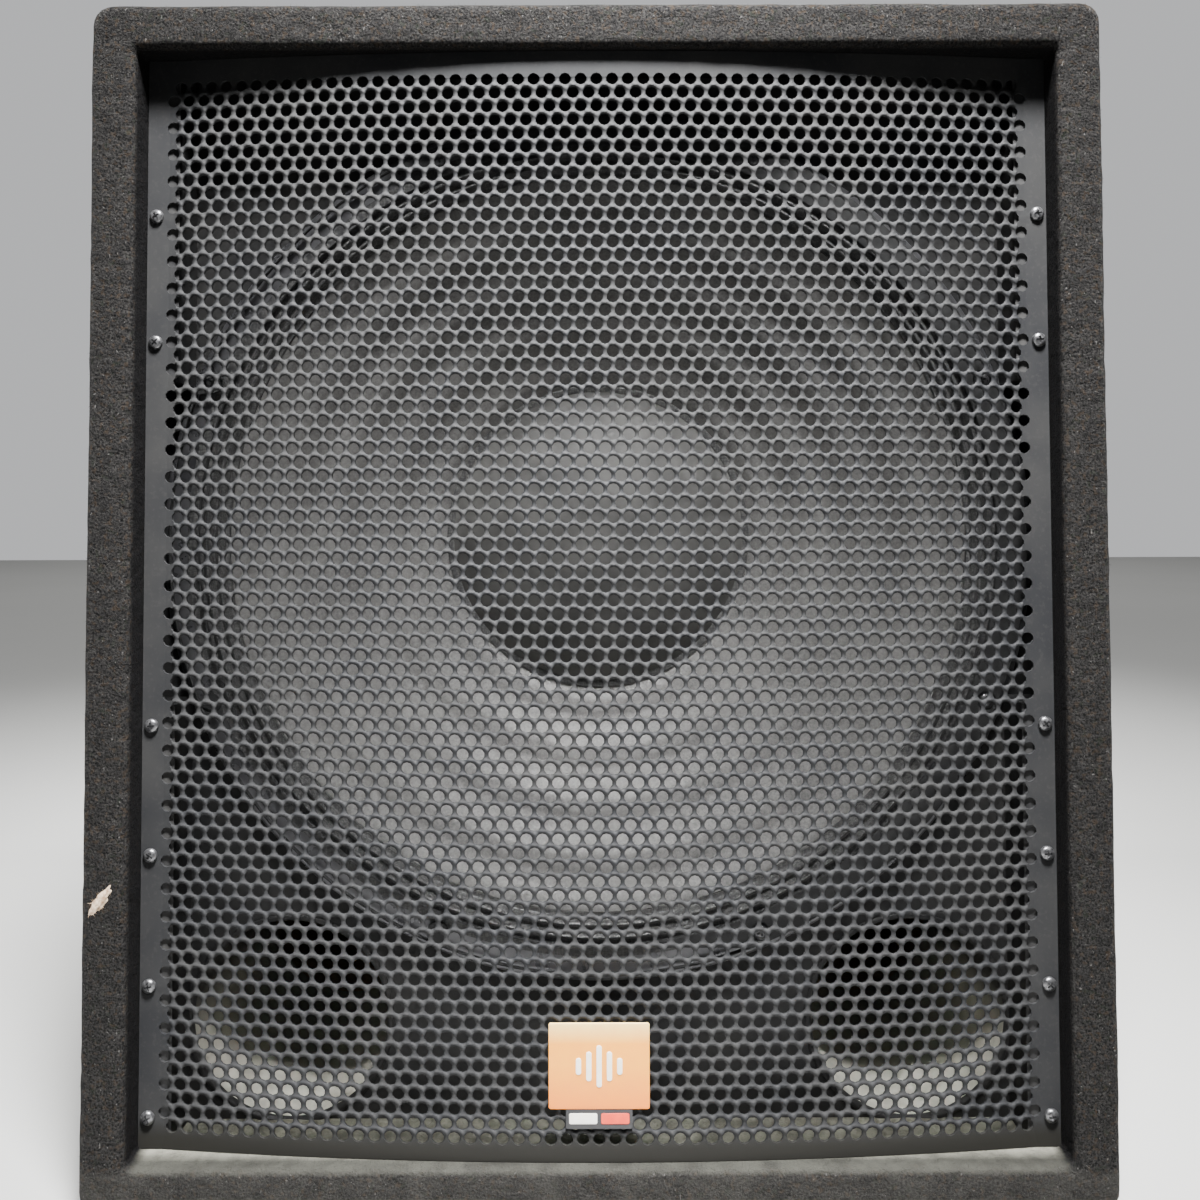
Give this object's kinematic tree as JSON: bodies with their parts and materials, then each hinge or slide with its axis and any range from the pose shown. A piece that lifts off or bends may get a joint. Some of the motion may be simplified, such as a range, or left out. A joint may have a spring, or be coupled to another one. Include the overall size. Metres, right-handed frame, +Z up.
{
  "type": "pa speaker cabinet",
  "caption": "Carpet-covered bass loudspeaker cabinet with a large cone driver and two round ports behind a bowed perforated grille.",
  "frame": {"origin": "on the floor under the feet, in the middle of the cabinet's footprint", "axes": "+Z up, -Y out of the front grille, +X to the right of a viewer facing the grille"},
  "size_m": [0.502, 0.603, 0.597],
  "materials": {
    "plywood": "raw birch plywood, sanded",
    "black_paint": "matt black paint",
    "carpet": "needle-punched charcoal carpet",
    "wadding": "bonded polyester wadding",
    "grille_steel": "satin charcoal powder coat",
    "badge_enamel": "orange enamel",
    "black_zinc": "black zinc plate",
    "painted_steel": "satin black paint",
    "rubber": "matt",
    "doped_cloth": "resin-doped cloth",
    "cone_pulp": "treated paper pulp",
    "coil_former_film": "amber film",
    "copper_wire": "enamelled copper",
    "plated_steel": "zinc plate",
    "ferrite": "matt ceramic magnet",
    "black_plastic": "fine moulded texture",
    "socket_steel": "matt black powder coat"
  },
  "bodies": {
    "cabinet": {"top_panel": "plywood", "bottom_panel": "plywood", "left_panel": "plywood", "right_panel": "plywood", "rear_panel": "plywood", "window_brace": "plywood", "baffle": "black_paint", "left_lower_batten": "black_paint", "left_upper_batten": "black_paint", "right_lower_batten": "black_paint", "right_upper_batten": "black_paint", "pole_socket": "socket_steel", "carpet_wrap": "carpet", "rear_carpet": "carpet", "damping_pad": "wadding", "grille": "grille_steel", "badge": "badge_enamel", "grille_screw_left_1": "black_zinc", "grille_screw_left_2": "black_zinc", "grille_screw_left_3": "black_zinc", "grille_screw_left_4": "black_zinc", "grille_screw_left_5": "black_zinc", "grille_screw_left_6": "black_zinc", "grille_screw_right_1": "black_zinc", "grille_screw_right_2": "black_zinc", "grille_screw_right_3": "black_zinc", "grille_screw_right_4": "black_zinc", "grille_screw_right_5": "black_zinc", "grille_screw_right_6": "black_zinc", "woofer_basket": "painted_steel", "woofer_gasket": "rubber", "left_handle_grip": "rubber", "right_handle_grip": "rubber", "front_left_foot": "rubber", "front_right_foot": "rubber", "rear_left_foot": "rubber", "rear_right_foot": "rubber", "surround": "doped_cloth", "spider": "doped_cloth", "top_plate": "plated_steel", "yoke": "plated_steel", "magnet": "ferrite", "terminal_block": "black_plastic", "left_port_tube": "black_plastic", "right_port_tube": "black_plastic", "left_handle_cup": "black_plastic", "right_handle_cup": "black_plastic", "input_dish": "black_plastic", "lower_twist_socket": "black_plastic", "upper_twist_socket": "black_plastic", "lower_phone_jack": "black_plastic", "upper_phone_jack": "black_plastic"},
    "cone_assembly": {"cone": "cone_pulp", "dust_cap": "cone_pulp", "coil_former": "coil_former_film", "coil_winding": "copper_wire"}
  },
  "joints": [
    {"name": "cone_travel", "type": "slide", "parent": "cabinet", "child": "cone_assembly", "axis": [0, -1, 0], "range_m": [-0.008, 0.008], "stiffness_N_per_m": 4000, "deforming": ["surround", "spider"]}
  ]
}
